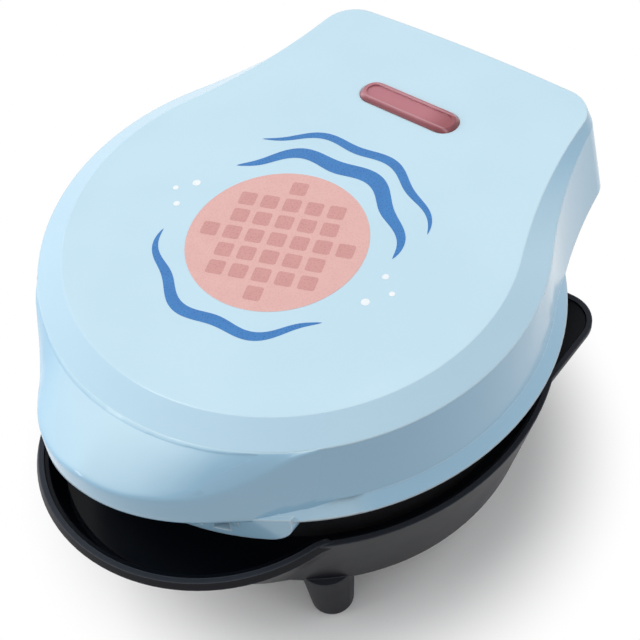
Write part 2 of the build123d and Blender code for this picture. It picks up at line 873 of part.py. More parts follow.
thermostat_spots = [(-thermostat_screw_x, 0), (thermostat_screw_x, 0)]
with BuildPart() as thermostat_screws:
    add(screw_group(thermostat_spots, thermostat_z - thermostat_lug_thickness,
                    thermostat_lug_thickness + thermostat_boss + fuse_screw_bite, True))
thermostat_screws.part.label = "thermostat_screws"
export_step(thermostat_screws.part, "parts/thermostat_screws.step")

# Thermal fuse held against the lower plate by a bent clip and one screw
fuse_z = lower_back_z - fuse_radius
with BuildPart() as thermal_fuse:
    with BuildSketch(side_plane(-fuse_length / 2)):
        with Locations((plate_y + fuse_y, fuse_z)):
            Circle(fuse_radius)
    extrude(amount=fuse_length)
thermal_fuse.part.label = "thermal_fuse"
export_step(thermal_fuse.part, "parts/thermal_fuse.step")

clip_bore = fuse_radius + fuse_clearance
clip_outer = clip_bore + clip_sheet
with BuildPart() as fuse_clip:
    with BuildSketch(side_plane(-clip_width / 2)):
        with Locations((plate_y + fuse_y, fuse_z)):
            Circle(clip_outer)
            Rectangle(2 * clip_outer, fuse_radius, align=(Align.CENTER, Align.MIN))
        with Locations((plate_y + fuse_y + clip_bore, lower_back_z)):
            Rectangle(clip_sheet + clip_foot, clip_sheet, align=(Align.MIN, Align.MAX))
        with Locations((plate_y + fuse_y, fuse_z)):
            Circle(clip_bore, mode=Mode.SUBTRACT)
            Rectangle(2 * clip_bore, clip_outer, align=(Align.CENTER, Align.MIN), mode=Mode.SUBTRACT)
    extrude(amount=clip_width)
    with BuildSketch(level(lower_back_z)):
        with Locations((0, fuse_screw_y)):
            Circle(bore_radius)
    extrude(amount=-clip_sheet, mode=Mode.SUBTRACT)
fuse_clip.part.label = "fuse_clip"
export_step(fuse_clip.part, "parts/fuse_clip.step")

with BuildPart() as fuse_screw:
    add(screw_group([(0, fuse_screw_y)], lower_back_z - clip_sheet, clip_sheet + fuse_screw_bite, True))
fuse_screw.part.label = "fuse_screw"
export_step(fuse_screw.part, "parts/fuse_screw.step")

# Terminal block on the floor of the base
block_z = foot_height + base_wall
with BuildPart() as terminal_block:
    with BuildSketch(level(block_z)):
        with Locations((0, block_y)):
            Rectangle(block_length, block_width)
    extrude(amount=block_height)
    with BuildSketch(Plane(origin=(0, plate_y + block_y, block_z + block_height / 2), x_dir=(1, 0, 0), z_dir=(0, -1, 0))):
        with GridLocations(block_entry_pitch, block_entry_pitch, 3, 1):
            Circle(block_entry_radius)
    extrude(amount=block_width / 2, both=True, mode=Mode.SUBTRACT)
terminal_block.part.label = "terminal_block"
export_step(terminal_block.part, "parts/terminal_block.step")

# Bush in the rear wall where the mains lead enters, with its flange inside
with BuildPart() as cord_gland:
    with BuildSketch(Plane(origin=(0, plate_y + base_tail_rear - base_wall, gland_z), x_dir=(1, 0, 0), z_dir=(0, 1, 0))) as flange_face:
        Circle(gland_flange)
    extrude(amount=-gland_flange_thickness)
    with BuildSketch(flange_face.workplanes[0]):
        Circle(gland_radius)
    extrude(amount=base_wall + gland_reach)
    with BuildSketch(flange_face.workplanes[0].offset(-gland_flange_thickness)):
        Circle(gland_bore)
    extrude(amount=gland_flange_thickness + base_wall + gland_reach, mode=Mode.SUBTRACT)
cord_gland.part.label = "cord_gland"
export_step(cord_gland.part, "parts/cord_gland.step")

with BuildPart() as hinge_pins:
    for start_x in (-tower_outer, tower_inner):
        with BuildSketch(side_plane(start_x)):
            with Locations((hinge_y, hinge_z)):
                Circle(pin_radius)
        extrude(amount=tower_outer - tower_inner)
hinge_pins.part.label = "hinge_pins"
export_step(hinge_pins.part, "parts/hinge_pins.step")


# Finger guard: a curved tongue with rounded ends, a row of windows and gussets up to the hand lip
def guard_form():
    guard_mid = guard_outer - guard_wall / 2
    half_width = guard_outer * sin(radians(guard_half_angle))
    window_z = lid_rim_z - guard_slot_drop - guard_slot_height / 2
    window_turns = [
        side * (guard_slot_first + guard_slot_pitch * step)
        for side in (-1, 1)
        for step in range(guard_slot_pairs)
    ]
    rib_turns = [
        side * (guard_slot_first + guard_slot_pitch * (step + 0.5))
        for side in (-1, 1)
        for step in range(guard_slot_pairs)
    ]
    rib_outer = guard_outer + guard_rib_reach
    rib_root = guard_outer - guard_wall / 2
    with BuildPart() as rib:
        with BuildSketch(side_plane(-guard_rib_width / 2)):
            with BuildLine():
                Polyline(
                    (plate_y - rib_root, lid_rim_z - guard_rib_drop),
                    (plate_y - rib_outer, lid_rim_z + (rib_outer - flare_radius) * lip_cone_slope),
                    (plate_y - rib_outer, lid_rim_z + (rib_outer - flare_radius) * lip_cone_slope + guard_wall / 2),
                    (plate_y - rib_root, lid_rim_z + guard_wall / 2),
                    close=True,
                )
            make_face()
        extrude(amount=guard_rib_width)
    with BuildPart() as guard:
        with BuildSketch(level(lid_rim_z - guard_drop)):
            Circle(guard_outer)
            Circle(guard_outer - guard_wall, mode=Mode.SUBTRACT)
        extrude(amount=guard_drop + guard_wall / 2)
        with BuildSketch(Plane(origin=(0, plate_y, lid_rim_z), x_dir=(1, 0, 0), z_dir=(0, -1, 0))):
            RectangleRounded(2 * half_width, 2 * guard_drop, guard_corner)
        extrude(amount=guard_outer, mode=Mode.INTERSECT)
        for turn in window_turns:
            spot = (guard_mid * sin(radians(turn)), plate_y - guard_mid * cos(radians(turn)), window_z)
            with Locations(Location(spot, (0, 0, turn))):
                Box(guard_slot_width, 2 * guard_wall, guard_slot_height, mode=Mode.SUBTRACT)
        for turn in rib_turns:
            add(rib.part.rotate(shaft, turn))
    return guard.part


# Lid housing: keyhole body, flared rim and hand lip less their inside, with guard, bosses and lens opening
lens_plane = Plane(origin=(0, plate_y + lens_y, lid_top_z))
flare_top = lid_radius - lid_draft * flare_height / (bevel_z - lid_rim_z)
flare_slope = flare_height / (flare_radius - flare_top)
with BuildPart() as lid_housing:
    add(lid_form(0))
    with BuildSketch(turning_plane()):
        with BuildLine():
            Polyline(
                (lid_radius - flare_inset, lid_rim_z),
                (flare_radius, lid_rim_z),
                (flare_top - flare_bite, lid_rim_z + flare_height + flare_bite * flare_slope),
                (lid_radius - flare_inset, lid_rim_z + flare_height + flare_bite * flare_slope),
                close=True,
            )
        make_face()
    revolve(axis=shaft)
    add(lid_lip_form(0))
    add(lid_form(lid_wall), mode=Mode.SUBTRACT)
    add(lid_lip_form(lid_wall), mode=Mode.SUBTRACT)
    add(guard_form())
    add(post_group(liner_screw_spots, lid_boss_radius, liner_top_z, lid_ceiling_z))
    add(post_group(liner_screw_spots, screw_radius, liner_top_z, liner_top_z + screw_bite), mode=Mode.SUBTRACT)
    with BuildSketch(lens_plane):
        SlotOverall(lens_length + 2 * lens_gap, lens_width + 2 * lens_gap)
    extrude(amount=-2 * lid_wall, mode=Mode.SUBTRACT)
lid_housing.part.label = "lid_housing"
export_step(lid_housing.part, "parts/lid_housing.step")

# Liner that closes the lid from below and carries the hinge ears
liner_draw = tail_draft * (liner_top_z - lid_rim_z) / (bevel_z - lid_wall - lid_rim_z)
with BuildPart() as lid_liner:
    with BuildSketch(level(liner_bottom_z)):
        add(lid_rim_section(lid_wall + liner_gap + liner_draw))
        Circle(liner_opening, mode=Mode.SUBTRACT)
        with Locations((0, hinge_y - plate_y - tower_front / 2)):
            SlotOverall(wire_slot_width, wire_slot_depth, mode=Mode.SUBTRACT)
        with Locations(*liner_screw_spots):
            Circle(bore_radius, mode=Mode.SUBTRACT)
    extrude(amount=liner_thickness)
    for start_x in (-knuckle_inner - knuckle_length, knuckle_inner):
        with BuildSketch(side_plane(start_x)):
            add(knuckle_sketch())
        extrude(amount=knuckle_length)
    with BuildSketch(side_plane(-tower_outer)):
        with Locations((hinge_y, hinge_z)):
            Circle(pin_radius + pin_clearance)
    extrude(amount=2 * tower_outer, mode=Mode.SUBTRACT)
lid_liner.part.label = "lid_liner"
export_step(lid_liner.part, "parts/lid_liner.step")

with BuildPart() as lid_screws:
    add(screw_group(liner_screw_spots, liner_bottom_z, liner_thickness + screw_bite, True))
lid_screws.part.label = "lid_screws"
export_step(lid_screws.part, "parts/lid_screws.step")

# Indicator lens, its holder and the neon lamp
with BuildPart() as indicator_lens:
    with BuildSketch(lens_plane.offset(-lid_wall)):
        SlotOverall(lens_length, lens_width)
    extrude(amount=lid_wall + lens_proud)
    chamfer(indicator_lens.edges().group_by(Axis.Z)[-1], lens_bevel)
    with BuildSketch(lens_plane.offset(lens_proud)):
        SlotOverall(lens_length - 2 * lens_panel_inset, lens_width - 2 * lens_panel_inset)
    extrude(amount=-lens_panel_depth, mode=Mode.SUBTRACT)
    with BuildSketch(lens_plane.offset(-lid_wall)):
        SlotOverall(lens_length + 2 * lens_flange, lens_width + 2 * lens_flange)
    extrude(amount=-lens_flange_thickness)
indicator_lens.part.label = "indicator_lens"
export_step(indicator_lens.part, "parts/indicator_lens.step")

holder_top = lens_plane.offset(-lid_wall - lens_flange_thickness)
with BuildPart() as lens_holder:
    with BuildSketch(holder_top):
        SlotOverall(lens_length + 2 * lens_flange, lens_width + 2 * lens_flange)
    extrude(amount=-holder_depth)
    with BuildSketch(holder_top):
        SlotOverall(lens_length + 2 * lens_flange - 2 * holder_wall, lens_width + 2 * lens_flange - 2 * holder_wall)
    extrude(amount=holder_wall - holder_depth, mode=Mode.SUBTRACT)
lens_holder.part.label = "lens_holder"
export_step(lens_holder.part, "parts/lens_holder.step")

lamp_z = lid_ceiling_z - lens_flange_thickness - holder_depth + holder_wall + lamp_clearance + lamp_radius
with BuildPart() as indicator_lamp:
    with BuildSketch(side_plane(-lamp_length / 2)):
        with Locations((plate_y + lens_y, lamp_z)):
            Circle(lamp_radius)
    extrude(amount=lamp_length)
indicator_lamp.part.label = "indicator_lamp"
export_step(indicator_lamp.part, "parts/indicator_lamp.step")
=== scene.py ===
import math

import bmesh
import bpy
from mathutils import Matrix, Vector


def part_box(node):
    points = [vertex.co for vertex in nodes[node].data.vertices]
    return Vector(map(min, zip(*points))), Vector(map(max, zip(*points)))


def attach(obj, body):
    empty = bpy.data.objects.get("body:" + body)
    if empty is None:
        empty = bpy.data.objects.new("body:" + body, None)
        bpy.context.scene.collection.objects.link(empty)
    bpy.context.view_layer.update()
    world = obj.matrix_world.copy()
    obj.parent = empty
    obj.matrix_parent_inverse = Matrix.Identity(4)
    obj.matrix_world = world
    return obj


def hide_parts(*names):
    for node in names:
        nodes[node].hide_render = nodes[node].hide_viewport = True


# Mini waffle maker: finishes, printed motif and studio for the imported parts. Metres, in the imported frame.
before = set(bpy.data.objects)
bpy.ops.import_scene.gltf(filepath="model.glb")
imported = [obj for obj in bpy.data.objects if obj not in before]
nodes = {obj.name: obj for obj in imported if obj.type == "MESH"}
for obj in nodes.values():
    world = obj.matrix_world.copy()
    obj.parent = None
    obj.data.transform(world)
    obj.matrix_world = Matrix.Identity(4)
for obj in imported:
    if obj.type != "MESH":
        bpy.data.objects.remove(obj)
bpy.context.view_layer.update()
print("packed parts loaded:", len(nodes))


wearAndHighlightBand = (0.004, 0.12)      # how far the normal has turned where the edge mask for wear and painted highlights starts, and where it is full


# Materials are written as sums of values, each sign one node
class Value:
    # an output socket that can stand in sums
    def __init__(self, network, socket):
        self.network = network
        self.socket = socket

    def math(self, operation, *others):
        return self.network.math(operation, self, *others)

    def __add__(self, other):
        return self.network.math("ADD", self, other)

    def __radd__(self, other):
        return self.network.math("ADD", other, self)

    def __sub__(self, other):
        return self.network.math("SUBTRACT", self, other)

    def __rsub__(self, other):
        return self.network.math("SUBTRACT", other, self)

    def __mul__(self, other):
        return self.network.math("MULTIPLY", self, other)

    def __rmul__(self, other):
        return self.network.math("MULTIPLY", other, self)

    def __abs__(self):
        return self.network.math("ABSOLUTE", self)

    def step(self, start, end):
        # 0 below start, 1 above end, smooth between
        return self.network.node("ShaderNodeMapRange", {"interpolation_type": "SMOOTHSTEP", "clamp": True},
                                 {0: self, 1: start, 2: end, 3: 0.0, 4: 1.0})


class Network:
    # the node tree of a material or a world, and how nodes are added to it
    def __init__(self, tree):
        self.tree = tree

    def feed(self, socket, value):
        if isinstance(value, Value):
            self.tree.links.new(value.socket, socket)
        else:
            socket.default_value = value

    def node(self, kind, settings=None, values=None, output=0):
        made = self.tree.nodes.new(kind)
        for key, setting in (settings or {}).items():
            setattr(made, key, setting)
        for key, value in (values or {}).items():
            self.feed(made.inputs[key], value)
        return Value(self, made.outputs[output])

    def math(self, operation, *values):
        return self.node("ShaderNodeMath", {"operation": operation}, dict(enumerate(values)))

    def apart(self, vector):
        # the x, y and z of a vector
        split = self.node("ShaderNodeSeparateXYZ", None, {0: vector}).socket.node
        return [Value(self, output) for output in split.outputs]


class Finish(Network):
    # one Principled material and the nodes that feed it
    def __init__(self, name, **uniform):
        self.material = bpy.data.materials.new(name)
        self.material.use_nodes = True
        super().__init__(self.material.node_tree)
        self.shader = self.tree.nodes["Principled BSDF"]
        self.give(**uniform)

    def give(self, **inputs):
        # sockets by their names in camelCase, as baseColor or coatRoughness
        for name, value in inputs.items():
            label = "".join(" " + c if c.isupper() else c for c in name).strip().title()
            self.feed(self.shader.inputs[label.replace("Ior", "IOR")], value)

    def mix(self, share, first, second):
        return self.node("ShaderNodeMix", {"data_type": "RGBA"}, {0: share, 6: first, 7: second}, 2)

    def place(self):
        return self.node("ShaderNodeTexCoord", output="Object")

    def axes(self):
        return self.apart(self.place())

    def upward(self):
        # how far a surface faces up, by its normal in the part's own frame
        return self.apart(self.node("ShaderNodeTexCoord", output="Normal"))[2]

    def noise(self, size, detail=2.0, rough=0.5, at=None):
        # size is the width of one cell in metres
        return self.node("ShaderNodeTexNoise", None, {"Vector": at or self.place(), "Scale": 1 / size,
                                                      "Detail": detail, "Roughness": rough})

    def cells(self, size):
        values = {"Vector": self.place(), "Scale": 1 / size}
        return self.node("ShaderNodeTexVoronoi", None, values, "Distance")

    def stretch(self, x, y, z):
        return self.node("ShaderNodeMapping", None, {"Vector": self.place(), "Scale": (x, y, z)})

    def bump(self, height, depth, strength, under=None):
        values = {"Strength": strength, "Distance": depth, "Height": height}
        if under is not None:
            values["Normal"] = under
        return self.node("ShaderNodeBump", None, values)

    def rounded(self, radius):
        # normal with its corners rounded
        return self.node("ShaderNodeBevel", {"samples": 6}, {"Radius": radius})

    def wear(self, rounded):
        # how near a corner is, 0 to 1
        plain = self.node("ShaderNodeNewGeometry", output="Normal")
        agree = self.node("ShaderNodeVectorMath", {"operation": "DOT_PRODUCT"},
                          {0: rounded, 1: plain}, "Value")
        return (1 - agree).step(*wearAndHighlightBand)


def tone(red, green, blue):
    # a screen colour, 0 to 255, as linear light
    def lift(part):
        part = part / 255
        return part / 12.92 if part <= 0.04045 else ((part + 0.055) / 1.055) ** 2.4
    return (lift(red), lift(green), lift(blue), 1.0)


def shade(colour, share):
    # the same colour with a share of its light
    return tuple(share * part for part in colour[:3]) + (1.0,)


def dress(finish, *names):
    for name in names:
        for holder in nodes[name].material_slots:
            holder.material = finish.material


# Lid: glossy pale blue moulding, with painted shade that deepens its tone down the walls and painted highlights
# on its rounded edges
lidLook = {
    "colour": tone(197, 226, 240),
    "cloudColour": tone(190, 220, 236),
    "cloudSize": 0.035,
    "cloudBand": (0.35, 0.65),
    "cloudShare": 0.5,
    "paintedWallShadeColour": tone(164, 207, 234),
    "paintedWallShadeGain": 2.6,          # how soon a leaning surface takes the painted wall shade
    # painted highlight: the near white colour of the rounded edges
    "edgeColour": tone(236, 248, 254),
    "edgeShare": 0.8,
    "edgeRadius": 0.0006,
    "roughness": 0.17,
    "smudgeSize": 0.012,
    "smudgeBand": (0.5, 0.72),
    "smudge": 0.05,           # roughness added by smudges and by worn edges
    "orangePeel": 0.0035,     # width of a ripple in the gloss
    "peelDepth": 0.000006,
    "peelStrength": 0.5,
}


def makeLidFinish():
    look = lidLook
    finish = Finish("lidGlossBlue", coatWeight=0.2, coatRoughness=0.04, ior=1.5, specularIorLevel=0.4)
    # painted shade: the less a surface faces up, the more it takes the deeper wall colour
    wall = ((1 - finish.upward()) * look["paintedWallShadeGain"]).math("MINIMUM", 1.0)
    cloud = finish.noise(look["cloudSize"])
    rounded = finish.rounded(look["edgeRadius"])
    edge = finish.wear(rounded)
    colour = finish.mix(cloud.step(*look["cloudBand"]) * look["cloudShare"], look["colour"], look["cloudColour"])
    colour = finish.mix(wall, colour, look["paintedWallShadeColour"])
    # painted highlight: rounded edges lightened towards near white
    colour = finish.mix(edge * look["edgeShare"], colour, look["edgeColour"])
    smudge = finish.noise(look["smudgeSize"], 3.0, 0.6).step(*look["smudgeBand"])
    roughness = look["roughness"] + smudge * look["smudge"] + edge * look["smudge"]
    ripple = finish.noise(look["orangePeel"], 1.0)
    finish.give(baseColor=colour, roughness=roughness)
    finish.give(normal=finish.bump(ripple, look["peelDepth"], look["peelStrength"], rounded))
    return finish


lidBlue = makeLidFinish()
dress(lidBlue, "lid_housing")
print("lid finish made")


# Dark mouldings: satin charcoal base, black deck and liner, soft inlet and feet
baseLook = {
    "colour": tone(24, 25, 30),
    "paintedLitTopColour": tone(50, 53, 60),
    "wornColour": tone(104, 108, 114),
    "roughness": 0.42,
    "gloss": 0.10,
    "coat": 0.05,
    "grain": 0.00055,
    "grainDepth": 0.000014,
    "edgeRadius": 0.0005,
}

deckLook = {
    "colour": tone(6, 8, 14),
    "paintedLitTopColour": tone(6, 8, 14),
    "wornColour": tone(40, 43, 50),
    "roughness": 0.36,
    "gloss": 0.12,
    "coat": 0.0,
    "grain": 0.0007,
    "grainDepth": 0.000012,
    "edgeRadius": 0.0004,
}

glandLook = {
    "colour": tone(30, 31, 34),
    "paintedLitTopColour": tone(34, 35, 38),
    "wornColour": tone(58, 59, 62),
    "roughness": 0.55,
    "gloss": 0.3,
    "coat": 0.0,
    "grain": 0.0009,
    "grainDepth": 0.00002,
    "edgeRadius": 0.0004,
}

padLook = {
    "colour": tone(34, 34, 36),
    "paintedLitTopColour": tone(34, 34, 36),
    "wornColour": tone(64, 63, 62),
    "roughness": 0.82,
    "gloss": 0.2,
    "coat": 0.0,
    "grain": 0.0006,
    "grainDepth": 0.00003,
    "edgeRadius": 0.0003,
}


mouldedLook = {               # what all dark mouldings share
    "cloudSize": 0.02,
    "cloudBand": (0.3, 0.7),
    "cloudShare": 0.35,
    "cloudShade": 0.8,
    "paintedLitTopBand": (0.5, 0.95),
    "edgeShare": 0.5,
    "spread": 0.12,           # of the roughness
    "speck": 0.3,             # share of the specks in the grain
    "grainStrength": 0.6,
}


def makeMouldedFinish(name, look):
    shared = mouldedLook
    finish = Finish(name, ior=1.5, specularIorLevel=look["gloss"])
    finish.give(coatWeight=look["coat"], coatRoughness=0.12)
    rounded = finish.rounded(look["edgeRadius"])
    cloud = finish.noise(shared["cloudSize"], 3.0, 0.55)
    clouds = cloud.step(*shared["cloudBand"]) * shared["cloudShare"]
    colour = finish.mix(clouds, look["colour"], shade(look["colour"], shared["cloudShade"]))
    # painted light: surfaces that face up are lightened towards the lit top colour
    colour = finish.mix(finish.upward().step(*shared["paintedLitTopBand"]), colour, look["paintedLitTopColour"])
    colour = finish.mix(finish.wear(rounded) * shared["edgeShare"], colour, look["wornColour"])
    finish.give(baseColor=colour, roughness=look["roughness"] + (cloud - 0.5) * shared["spread"])
    speck = finish.cells(look["grain"] * 2)
    grain = finish.noise(look["grain"], 2.0, 0.6) * (1 - shared["speck"]) + speck * shared["speck"]
    finish.give(normal=finish.bump(grain, look["grainDepth"], shared["grainStrength"], rounded))
    return finish


dress(makeMouldedFinish("baseSatinCharcoal", baseLook), "base_housing")
dress(makeMouldedFinish("deckSatinBlack", deckLook), "base_deck", "lid_liner")
dress(makeMouldedFinish("cordInletSoft", glandLook), "cord_gland")
dress(makeMouldedFinish("footPadRubber", padLook), "foot_pads")
print("base, deck, inlet and pad finishes made")


# Cooking plates: non-stick coating on the face, bare casting behind
plateLook = {
    "coating": tone(47, 47, 50),
    "coatingDull": tone(33, 33, 35),
    "casting": tone(158, 160, 162),
    "castingDull": tone(126, 128, 131),
    "mottle": 0.006,
    "fleckColour": tone(120, 118, 114),
    "fleck": 0.0008,
    "edgeColour": tone(88, 86, 84),
    "edgeRadius": 0.0004,
    "grain": 0.0005,
    "ripple": 0.004,
    "grainDepth": 0.00002,
    "lowerBack": 0.0395,      # the lower plate is bare below this height
    "upperBack": 0.0672,      # the upper plate is bare above this one
    "fade": 0.0004,           # height over which the coating ends
}


def makePlateFinish(name, back, bareAbove):
    look = plateLook
    finish = Finish(name, ior=1.5)
    height = finish.axes()[2]
    rounded = finish.rounded(look["edgeRadius"])
    bare = height.step(back, back + look["fade"]) if bareAbove else 1 - height.step(back - look["fade"], back)
    mottle = finish.noise(look["mottle"], 4.0, 0.6)
    fleck = finish.cells(look["fleck"]).math("LESS_THAN", 0.16)
    coating = finish.mix(mottle.step(0.3, 0.75) * 0.5, look["coating"], look["coatingDull"])
    coating = finish.mix(fleck * 0.28, coating, look["fleckColour"])
    coating = finish.mix(finish.wear(rounded) * 0.35, coating, look["edgeColour"])
    casting = finish.mix(mottle.step(0.35, 0.7), look["casting"], look["castingDull"])
    finish.give(baseColor=finish.mix(bare, coating, casting), metallic=bare * 0.85 + 0.08)
    finish.give(roughness=0.36 + mottle * 0.12 + bare * 0.1)
    grain = finish.noise(look["grain"], 2.0, 0.6) * (0.6 + bare) + finish.noise(look["ripple"]) * bare
    finish.give(normal=finish.bump(grain, look["grainDepth"], 0.6, rounded))
    return finish


dress(makePlateFinish("lowerPlateCoated", plateLook["lowerBack"], False), "lower_plate")
dress(makePlateFinish("upperPlateCoated", plateLook["upperBack"], True), "upper_plate")
print("plate finishes made")


# Metals: two colours, width of a patch, roughness, stretch of the fine scratches, their depth, and the parts
metalLook = {
    "heaterSheath": (tone(150, 148, 144), tone(112, 92, 84), 0.02, 0.38, (1, 1, 1), 0.00001,
                     ("lower_heater", "upper_heater")),
    "reflectorSheet": (tone(212, 213, 214), tone(186, 188, 190), 0.03, 0.3, (12, 1, 1), 0.00001,
                       ("lower_reflector", "upper_reflector")),
    "clipSheet": (tone(212, 213, 214), tone(170, 168, 164), 0.01, 0.32, (1, 8, 1), 0.00001,
                  ("fuse_clip",)),
    "zincScrew": (tone(188, 190, 192), tone(196, 190, 172), 0.002, 0.3, (1, 1, 5), 0.000008,
                  ("base_screws", "lower_plate_screws", "thermostat_screws", "fuse_screw", "lid_screws",
                   "upper_plate_screws")),
    "hingePinGround": (tone(176, 178, 180), tone(150, 152, 155), 0.006, 0.2, (1, 14, 14), 0.000006,
                       ("hinge_pins",)),
}


scratchLook = {               # what all metals share
    "size": 0.0008,
    "spread": 0.22,           # of the roughness
    "cloudSpread": 0.06,
    "edgeColour": tone(232, 232, 232),
    "edgeShare": 0.4,
    "edgeRadius": 0.00025,
    "strength": 0.5,
}


def makeMetalFinish(name, first, second, patch, roughness, along, scratchDepth):
    look = scratchLook
    finish = Finish(name, metallic=0.95)
    cloud = finish.noise(patch, 4.0, 0.6)
    scratch = finish.noise(look["size"], 3.0, 0.7, finish.stretch(*along))
    rounded = finish.rounded(look["edgeRadius"])
    colour = finish.mix(cloud.step(0.35, 0.7), first, second)
    colour = finish.mix(finish.wear(rounded) * look["edgeShare"], colour, look["edgeColour"])
    finish.give(baseColor=colour)
    finish.give(roughness=roughness + (scratch - 0.5) * look["spread"] + cloud * look["cloudSpread"])
    finish.give(normal=finish.bump(scratch, scratchDepth, look["strength"], rounded))
    return finish


for metal, (*look, parts) in metalLook.items():
    dress(makeMetalFinish(metal, *look), *parts)


# Insulators: colour, stain, gloss and the part
insulatorLook = {
    "terminalCeramic": (tone(236, 233, 222), tone(206, 198, 180), 0.4, "terminal_block"),
    "fuseSleeve": (tone(222, 216, 200), tone(176, 160, 132), 0.1, "thermal_fuse"),
    "lensCarrier": (tone(226, 226, 222), tone(206, 205, 198), 0.2, "lens_holder"),
}


def makeInsulatorFinish(name, colour, stain, gloss):
    finish = Finish(name, coatWeight=gloss, coatRoughness=0.1)
    cloud = finish.noise(0.004, 4.0, 0.6)
    finish.give(baseColor=finish.mix(cloud.step(0.4, 0.75) * 0.6, colour, stain))
    finish.give(roughness=0.42 + cloud * 0.15)
    finish.give(normal=finish.bump(finish.noise(0.0004), 0.00002, 0.5, finish.rounded(0.0003)))
    return finish


for insulator, (*look, part) in insulatorLook.items():
    dress(makeInsulatorFinish(insulator, *look), part)


thermostatLook = {
    "body": tone(120, 74, 44),
    "bodyDark": tone(92, 54, 32),
    "cap": tone(196, 197, 198),
    "capDull": tone(160, 160, 162),
    "capFrom": (0.60, 0.62),  # where the pressed cap starts, as shares of the height
}


def makeThermostatFinish():
    # pressed cap above, moulded body below
    look = thermostatLook
    finish = Finish("thermostatBody")
    height = finish.axes()[2]
    low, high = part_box("thermostat")
    cap = height.step(*(low.z + share * (high.z - low.z) for share in look["capFrom"]))
    cloud = finish.noise(0.004, 4.0, 0.6)
    body = finish.mix(cloud, look["body"], look["bodyDark"])
    steel = finish.mix(cloud, look["cap"], look["capDull"])
    finish.give(baseColor=finish.mix(cap, body, steel), metallic=cap * 0.95)
    finish.give(roughness=0.5 - cap * 0.22 + cloud * 0.08)
    finish.give(normal=finish.bump(finish.noise(0.0005), 0.00001, 0.5, finish.rounded(0.00025)))
    return finish


dress(makeThermostatFinish(), "thermostat")
print("metal and insulator finishes made")


# Indicator: red lens over a neon lamp, lengths from the middle of the lens
lensLook = {
    "red": tone(214, 128, 142),
    "deepRed": tone(150, 28, 44),
    "deepFrom": (0.004, 0.0125),     # the far end is deeper
    "rimRed": tone(120, 18, 34),
    "rimSide": (0.0027, 0.0036),
    "rimEnd": (0.0128, 0.0139),
    "lineRed": tone(226, 176, 184),
    "line": 0.0026,
    "lineWidth": (0.0001, 0.0004),
    "flutes": 220.0,
    "fluteDepth": 0.00004,
}


def makeLensFinish():
    look = lensLook
    finish = Finish("indicatorLensRed", transmissionWeight=0.35, ior=1.49, coatWeight=0.6, coatRoughness=0.03)
    x, y, z = finish.axes()
    low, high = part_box("indicator_lens")
    middle = (low + high) / 2
    reach = abs(x - middle.x)
    side = abs(y - middle.y)
    deep = (x - middle.x).step(*look["deepFrom"])
    rim = side.step(*look["rimSide"]).math("MAXIMUM", reach.step(*look["rimEnd"]))
    line = abs(side - look["line"]).step(*look["lineWidth"])
    flutes = finish.node("ShaderNodeTexWave", {"wave_type": "BANDS", "bands_direction": "X"},
                         {"Vector": finish.place(), "Scale": look["flutes"], "Distortion": 0.0})
    colour = finish.mix(deep * 0.7, look["red"], look["deepRed"])
    colour = finish.mix((1 - line) * (1 - rim) * 0.5, colour, look["lineRed"])
    colour = finish.mix(rim * 0.75, colour, look["rimRed"])
    finish.give(baseColor=colour, roughness=0.14 + finish.noise(0.003) * 0.08)
    finish.give(normal=finish.bump(flutes, look["fluteDepth"], 0.25, finish.rounded(0.0003)))
    return finish


def makeLampFinish():
    finish = Finish("neonLampGlass", transmissionWeight=0.9, ior=1.47)
    cloud = finish.noise(0.003)
    finish.give(baseColor=finish.mix(cloud, tone(250, 226, 204), tone(242, 206, 176)))
    finish.give(roughness=0.04 + cloud * 0.05)
    return finish


dress(makeLensFinish(), "indicator_lens")
dress(makeLampFinish(), "indicator_lamp")
print("indicator finishes made")


def finishPiece(name, mesh, finish):
    # every new piece is part of the lid's shell
    data = bpy.data.meshes.new(name)
    mesh.to_mesh(data)
    mesh.free()
    piece = bpy.data.objects.new(name, data)
    bpy.context.scene.collection.objects.link(piece)
    data.materials.append(finish.material)
    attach(piece, "lid")
    return piece


# Hand lip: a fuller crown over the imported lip. Millimetres from the plates' centre line and the lid's rim.
lipShape = {
    "spacing": 4.0,           # degrees between the stations, which start at the lip's tip
    "reach": (75.36, 75.15, 74.4, 73.1, 71.3, 69.1, 66.75, 65.0, 63.7, 62.8, 62.1, 61.4, 60.7),
    "crease": (15.9, 15.4, 14.9, 14.5, 13.7, 12.9, 12.7, 13.8, 15.7, 18.2, 20.4, 20.85, 20.85),
    "draft": 0.05,
    "edgeRadius": 60.32,      # where the lid's bevel ends
    "edgeRise": 20.90,
    "tuck": (0.5, 0.1),       # how far the crown starts inside and below that edge
    "coneStart": 64.5,
    "coneSlope": 0.815,
    "slope": 0.62,            # first slope of the crown as a share of its mean slope
    "leastDrop": 0.02,        # of the crown, from the bevel's edge to the crease
    "round": 1.1,             # radius of the crease
    "roundLimit": 0.45,       # and its most, as a share of the crown and of the wall
    "wallShares": (0.35, 0.7, 0.97),
    "lap": 0.12,              # how far the wall's foot turns in
    "lapLimit": 0.05,         # a foot above this also drops
    "lapDrop": 0.1,
    "hem": 1.5,               # width of the turned edge under the wall
    "hemGap": 0.03,
    "columns": 132,
    "crownSteps": 12,
    "creaseSteps": 6,
    "axis": 2.05,
    "rim": 60.5,
}


def through(values, spacing, angle):
    # smooth curve through evenly spaced values, mirrored at zero
    place = min(abs(angle) / spacing, len(values) - 1.001)
    index = int(place)
    share = place - index

    def value(at):
        return values[min(abs(at), len(values) - 1)]
    before, first, second, after = (value(index + step) for step in (-1, 0, 1, 2))
    return 0.5 * (2 * first + (second - before) * share
                  + (2 * before - 5 * first + 4 * second - after) * share ** 2
                  + (3 * first - before - 3 * second + after) * share ** 3)


def coneRise(reach):
    return (reach - lipShape["coneStart"]) * lipShape["coneSlope"]


